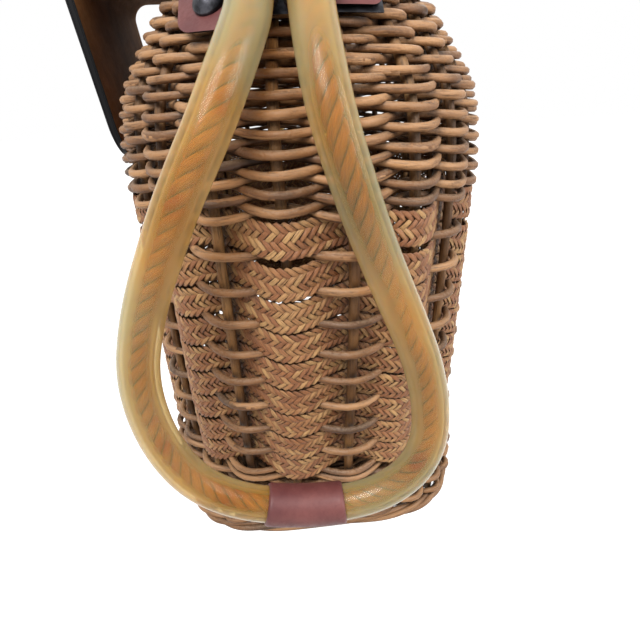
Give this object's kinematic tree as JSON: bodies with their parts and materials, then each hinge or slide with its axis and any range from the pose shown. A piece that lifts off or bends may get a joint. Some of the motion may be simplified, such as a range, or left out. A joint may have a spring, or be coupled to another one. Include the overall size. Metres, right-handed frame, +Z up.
{
  "type": "wicker creel with flap lid",
  "caption": "Bulging wicker creel with a hinged leather flap lid, a turn button closure and a swinging tube handle with a rope core at each narrow end.",
  "frame": {"origin": "centre of the foot border's underside", "axes": "+Z up; +Y along the basket's length, from the near handle to the far one; +X towards the hinged back, so the lid's apron is at -X"},
  "size_m": [0.1896, 0.3282, 0.2622],
  "materials": {
    "willow_rods": "peeled willow rods, varnished long ago and dusty",
    "straw_braid": "flat plaited straw, reddish brown",
    "stake_rods": "upright rods, darker",
    "base_weave": "woven floor",
    "flap_leather": "brown hide, black painted edge",
    "flap_board": "stiff board, edge painted black",
    "flap_lining": "raw brown hide",
    "oxblood_leather": "oxblood leather",
    "amber_tube": "aged translucent vinyl tube",
    "core_rope": "twisted rope",
    "dark_metal": "blackened metal, domed",
    "old_brass": "dull old brass"
  },
  "bodies": {
    "basket": {"foot_border": "willow_rods", "base_panel": "base_weave", "lower_wall": "straw_braid", "upper_wall": "willow_rods", "rim_border": "willow_rods", "wall_stakes": "stake_rods", "hinge_wall_leaves": "old_brass", "hinge_pins": "old_brass", "hinge_packing_pads": "oxblood_leather", "hinge_wall_rivets": "old_brass", "button_block": "stake_rods", "button_post": "old_brass", "near_handle_bracket": "dark_metal", "near_handle_pin": "dark_metal", "near_handle_tabs": "oxblood_leather", "near_handle_studs": "dark_metal", "far_handle_bracket": "dark_metal", "far_handle_pin": "dark_metal", "far_handle_tabs": "oxblood_leather", "far_handle_studs": "dark_metal"},
    "lid": {"lid_cover": "flap_leather", "lid_board": "flap_board", "lid_lining": "flap_lining", "hinge_lid_leaves": "old_brass", "hinge_lid_rivets": "old_brass"},
    "turn_button": {"turn_button": "old_brass"},
    "near_handle": {"near_handle_tube": "amber_tube", "near_handle_rope": "core_rope", "near_handle_grip": "oxblood_leather", "near_handle_eyes": "dark_metal"},
    "far_handle": {"far_handle_tube": "amber_tube", "far_handle_rope": "core_rope", "far_handle_grip": "oxblood_leather", "far_handle_eyes": "dark_metal"}
  },
  "joints": [
    {"name": "lid_hinge", "type": "hinge", "parent": "basket", "child": "lid", "pos_m": [0.0575, 0, 0.2587], "axis": [0, 1, 0], "range_deg": [0, 105]},
    {"name": "near_handle_swing", "type": "hinge", "parent": "basket", "child": "near_handle", "pos_m": [-0.0078, -0.12415, 0.24], "axis": [-1, 0, 0], "range_deg": [0, 150]},
    {"name": "far_handle_swing", "type": "hinge", "parent": "basket", "child": "far_handle", "pos_m": [0.0078, 0.12415, 0.24], "axis": [1, 0, 0], "range_deg": [0, 150]},
    {"name": "turn_button_pivot", "type": "hinge", "parent": "basket", "child": "turn_button", "pos_m": [-0.09, 0.02, 0.1581], "axis": [-1, 0, 0], "range_deg": [0, 90]}
  ]
}
